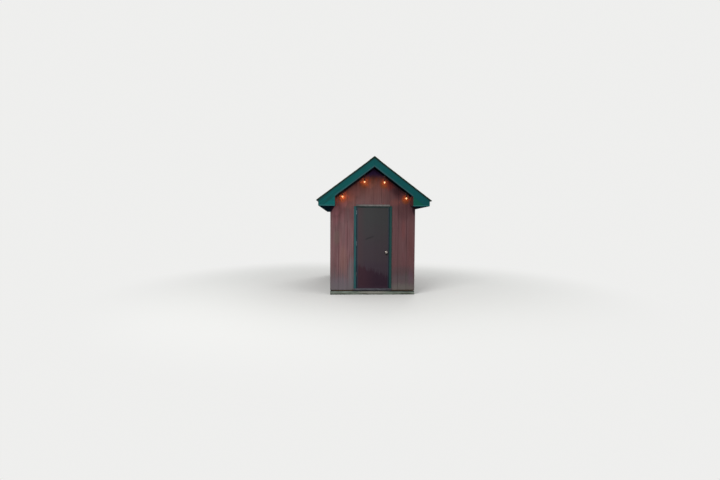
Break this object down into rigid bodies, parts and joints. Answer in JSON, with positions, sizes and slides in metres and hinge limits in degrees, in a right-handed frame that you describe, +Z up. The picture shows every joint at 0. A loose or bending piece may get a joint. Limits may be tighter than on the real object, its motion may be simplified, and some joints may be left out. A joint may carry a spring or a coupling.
{
  "type": "holiday cabin",
  "caption": "Small gabled wooden cabin with grooved sheet siding, green rake boards and boxed eave returns, a flush outswing door and lamps under the rakes.",
  "frame": {"origin": "on the ground under the middle of the roof", "axes": "+X to the right seen from the front, +Y towards the rear, +Z up; the door faces -Y"},
  "size_m": [2.772, 4.498, 3.4009],
  "materials": {
    "siding": "faded red-brown stain, grey at the foot",
    "green_paint": "teal-green paint",
    "soffit_paint": "dark stained soffit board",
    "framing_timber": "sawn softwood",
    "floor_board": "plywood, worn",
    "roof_board": "sheathing board",
    "ground_timber": "weathered grey timber",
    "shingle": "dark green granules",
    "drip_metal": "very dark green",
    "cap_metal": "weathered grey",
    "threshold": "weathered grey",
    "door_paint": "dark gloss paint, worn to maroon below",
    "hinge_steel": "satin",
    "knob_brass": "satin",
    "lamp_plastic": "black",
    "bulb_glass": "frosted, lit"
  },
  "bodies": {
    "cabin": {"end_timbers": "ground_timber", "side_timbers": "ground_timber", "floor_joists": "framing_timber", "floor_deck": "floor_board", "side_plates": "framing_timber", "end_plates": "framing_timber", "side_studs": "framing_timber", "end_studs": "framing_timber", "door_jack_studs": "framing_timber", "door_header": "framing_timber", "ridge_board": "framing_timber", "rafters": "framing_timber", "roof_deck": "roof_board", "shingles": "shingle", "ridge_cap": "shingle", "rake_drip_edges": "drip_metal", "eave_drip_edges": "drip_metal", "left_rake_boards": "green_paint", "right_rake_boards": "green_paint", "eave_fascias": "green_paint", "eave_returns": "green_paint", "return_boxes": "soffit_paint", "eave_soffits": "soffit_paint", "rake_soffits": "soffit_paint", "front_siding_left": "siding", "front_siding_right": "siding", "front_siding_gable": "siding", "rear_siding": "siding", "left_siding": "siding", "right_siding": "siding", "door_side_jambs": "green_paint", "door_head_jamb": "green_paint", "door_threshold": "threshold", "door_casings": "green_paint", "door_drip_cap": "cap_metal", "hinge_frame_leaves": "hinge_steel", "strike_plate": "hinge_steel", "lamp_holders": "lamp_plastic", "lamp_bulbs": "bulb_glass"},
    "door": {"door_slab": "door_paint", "hinge_door_leaves": "hinge_steel", "latch_plate": "hinge_steel", "knob_roses": "knob_brass"},
    "knob": {"door_knobs": "knob_brass"}
  },
  "joints": [
    {"name": "door_swing", "type": "hinge", "parent": "cabin", "child": "door", "pos_m": [-0.40925, -1.837, 1.18], "axis": [0, 0, -1], "range_deg": [0, 110]},
    {"name": "knob_turn", "type": "hinge", "parent": "door", "child": "knob", "pos_m": [0.3465, -1.807, 1.0755], "axis": [0, 1, 0], "range_deg": [-60, 60], "stiffness_Nm_per_rad": 0.3}
  ]
}
